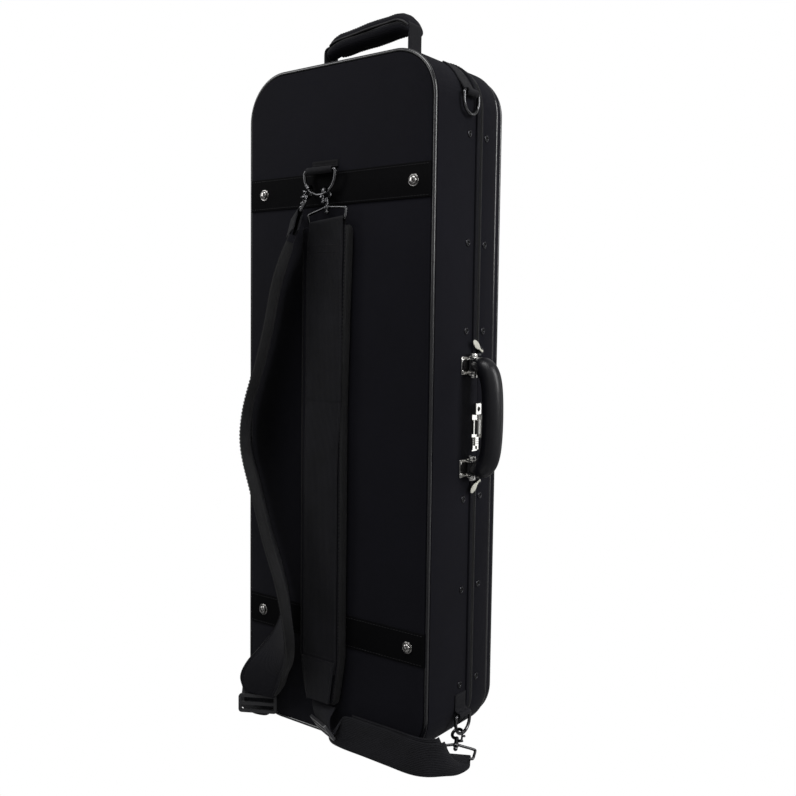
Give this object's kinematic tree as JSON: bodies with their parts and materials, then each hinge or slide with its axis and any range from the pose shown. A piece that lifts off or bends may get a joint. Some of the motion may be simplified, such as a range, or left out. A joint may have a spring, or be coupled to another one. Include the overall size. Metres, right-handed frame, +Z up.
{
  "type": "viola case",
  "caption": "Oblong viola case with a hinged lid, zip closure, spring lock, side and top handles and two clipped shoulder straps.",
  "frame": {"origin": "centre of the case's lower short end, on the floor it stands on", "axes": "+Z up along the case's length; +X towards the carrying handle and lock; +Y from the back with the straps to the lid with the music pocket"},
  "size_m": [0.371, 0.2117, 0.8697],
  "materials": {
    "case_cloth": "woven, matt",
    "band_vinyl": "grained, satin",
    "piping_vinyl": "smooth, satin",
    "zip_tape": "woven tape, matt",
    "webbing": "woven, matt",
    "strap_pad": "soft, matt",
    "handle_leather": "smooth, satin",
    "bright_plate": "bright",
    "dark_steel": "dark, glossy",
    "pull_plastic": "matt",
    "hard_plastic": "matt",
    "plush": "short pile, matt",
    "lining": "short pile, matt",
    "ribbon": "woven, matt"
  },
  "bodies": {
    "case": {"body_shell": "case_cloth", "back_piping": "piping_vinyl", "back_bands": "band_vinyl", "back_studs": "bright_plate", "body_rivets": "bright_plate", "zip_chain": "zip_tape", "zip_flaps": "band_vinyl", "handle_posts": "bright_plate", "lock_plate": "bright_plate", "hinge_body_leaves": "bright_plate", "hinge_pins": "bright_plate", "back_ring_tab": "webbing", "side_ring_tabs": "webbing", "right_shoulder_pad": "strap_pad", "left_shoulder_pad": "strap_pad", "right_strap_webbing": "webbing", "left_strap_webbing": "webbing", "strap_adjusters": "hard_plastic", "top_handle_anchors": "hard_plastic", "back_lining": "lining", "side_cushions": "plush", "suspension_pads": "plush", "neck_cradle": "plush", "accessory_boxes": "plush", "lid_stays": "ribbon"},
    "lid": {"lid_shell": "case_cloth", "lid_padding": "plush", "lid_pipings": "piping_vinyl", "lid_rivets": "bright_plate", "hinge_lid_leaves": "bright_plate", "hasp_plate": "bright_plate", "music_pocket": "case_cloth", "bow_bases": "hard_plastic", "bow_tip_holder": "plush"},
    "carry_handle": {"carry_handle": "handle_leather"},
    "top_handle": {"top_handle_webbing": "webbing", "top_handle_wrap": "strap_pad"},
    "top_handle_leaf": {"top_handle_leaf": "strap_pad"},
    "key_cylinder": {"key_cylinder": "bright_plate"},
    "release_slide": {"release_slide": "bright_plate"},
    "lock_hasp": {"lock_hasp": "bright_plate"},
    "upper_zip_slider": {"upper_zip_slider": "dark_steel"},
    "upper_zip_pull": {"upper_zip_pull": "pull_plastic"},
    "lower_zip_slider": {"lower_zip_slider": "dark_steel"},
    "lower_zip_pull": {"lower_zip_pull": "pull_plastic"},
    "pocket_zip_slider": {"pocket_zip_slider": "dark_steel"},
    "back_ring": {"back_d_ring": "dark_steel", "right_top_hook": "dark_steel", "left_top_hook": "dark_steel"},
    "right_top_trigger": {"right_top_trigger": "dark_steel"},
    "left_top_trigger": {"left_top_trigger": "dark_steel"},
    "upper_side_ring": {"upper_side_d_ring": "dark_steel"},
    "right_lower_ring": {"lower_right_d_ring": "dark_steel", "right_lower_hook": "dark_steel"},
    "left_lower_ring": {"lower_left_d_ring": "dark_steel", "left_lower_hook": "dark_steel"},
    "right_lower_trigger": {"right_lower_trigger": "dark_steel"},
    "left_lower_trigger": {"left_lower_trigger": "dark_steel"},
    "left_bow_lever": {"left_bow_lever": "hard_plastic"},
    "right_bow_lever": {"right_bow_lever": "hard_plastic"}
  },
  "joints": [
    {"name": "lid_hinge", "type": "hinge", "parent": "case", "child": "lid", "pos_m": [-0.1464, 0.0295, 0.405], "axis": [0, 0, 1], "range_deg": [0, 100], "deforming": ["lid_stays"]},
    {"name": "carry_handle_swing", "type": "hinge", "parent": "case", "child": "carry_handle", "pos_m": [0.1496, 0.008, 0.398], "axis": [0, 0, 1], "range_deg": [-75, 45]},
    {"name": "key_turn", "type": "hinge", "parent": "case", "child": "key_cylinder", "pos_m": [0.1425, 0.0232, 0.4065], "axis": [1, 0, 0], "range_deg": [0, 90]},
    {"name": "release_travel", "type": "slide", "parent": "case", "child": "release_slide", "axis": [0, 0, -1], "range_m": [0, 0.005], "stiffness_N_per_m": 200},
    {"name": "hasp_swing", "type": "hinge", "parent": "lid", "child": "lock_hasp", "pos_m": [0.1461, 0.035, 0.385], "axis": [0, 0, 1], "range_deg": [0, 110]},
    {"name": "upper_zip_travel", "type": "slide", "parent": "case", "child": "upper_zip_slider", "axis": [0, 0, 1], "range_m": [0, 0.24]},
    {"name": "upper_pull_swing", "type": "hinge", "parent": "upper_zip_slider", "child": "upper_zip_pull", "pos_m": [0.1494, 0.02575, 0.4749], "axis": [0, 0.5, 0.866], "range_deg": [0, 120]},
    {"name": "lower_zip_travel", "type": "slide", "parent": "case", "child": "lower_zip_slider", "axis": [0, 0, -1], "range_m": [0, 0.24]},
    {"name": "lower_pull_swing", "type": "hinge", "parent": "lower_zip_slider", "child": "lower_zip_pull", "pos_m": [0.1494, 0.02575, 0.3211], "axis": [0, -0.5, 0.866], "range_deg": [0, 120]},
    {"name": "pocket_zip_travel", "type": "slide", "parent": "lid", "child": "pocket_zip_slider", "axis": [1, 0, 0], "range_m": [0, 0.12]},
    {"name": "back_ring_swing", "type": "hinge", "parent": "case", "child": "back_ring", "pos_m": [-0.015, -0.076, 0.684], "axis": [-1, 0, 0], "range_deg": [0, 30], "deforming": ["right_strap_webbing", "left_strap_webbing"]},
    {"name": "right_top_trigger_travel", "type": "slide", "parent": "back_ring", "child": "right_top_trigger", "axis": [0.1004, -0.0502, -0.9937], "range_m": [0, 0.0033], "stiffness_N_per_m": 200},
    {"name": "left_top_trigger_travel", "type": "slide", "parent": "back_ring", "child": "left_top_trigger", "axis": [-0.1799, -0.4198, -0.8896], "range_m": [0, 0.0033], "stiffness_N_per_m": 200},
    {"name": "upper_side_ring_swing", "type": "hinge", "parent": "case", "child": "upper_side_ring", "pos_m": [0.1475, -0.003, 0.766], "axis": [0, -1, 0], "range_deg": [0, 120]},
    {"name": "right_lower_ring_swing", "type": "hinge", "parent": "case", "child": "right_lower_ring", "pos_m": [0.1475, 0.003, 0.044], "axis": [0, -1, 0], "range_deg": [0, 20], "deforming": ["right_strap_webbing"]},
    {"name": "left_lower_ring_swing", "type": "hinge", "parent": "case", "child": "left_lower_ring", "pos_m": [-0.1475, 0.003, 0.044], "axis": [0, 1, 0], "range_deg": [0, 20], "deforming": ["left_strap_webbing"]},
    {"name": "right_lower_trigger_travel", "type": "slide", "parent": "right_lower_ring", "child": "right_lower_trigger", "axis": [0.4043, -0.798, -0.4469], "range_m": [0, 0.0033], "stiffness_N_per_m": 200},
    {"name": "left_lower_trigger_travel", "type": "slide", "parent": "left_lower_ring", "child": "left_lower_trigger", "axis": [-0.4043, -0.798, -0.4469], "range_m": [0, 0.0033], "stiffness_N_per_m": 200},
    {"name": "top_handle_tilt", "type": "hinge", "parent": "case", "child": "top_handle", "pos_m": [0, 0, 0.811], "axis": [1, 0, 0], "range_deg": [-35, 35], "deforming": ["top_handle_webbing"]},
    {"name": "top_leaf_open", "type": "hinge", "parent": "top_handle", "child": "top_handle_leaf", "pos_m": [0.002, 0, 0.8642], "axis": [-0.9958, 0, -0.0919], "range_deg": [0, 60]},
    {"name": "left_bow_lever_turn", "type": "hinge", "parent": "lid", "child": "left_bow_lever", "pos_m": [-0.062, 0.0432, 0.11], "axis": [0, 1, 0], "range_deg": [0, 90]},
    {"name": "right_bow_lever_turn", "type": "hinge", "parent": "lid", "child": "right_bow_lever", "pos_m": [0.062, 0.0432, 0.11], "axis": [0, 1, 0], "range_deg": [-90, 0]}
  ]
}
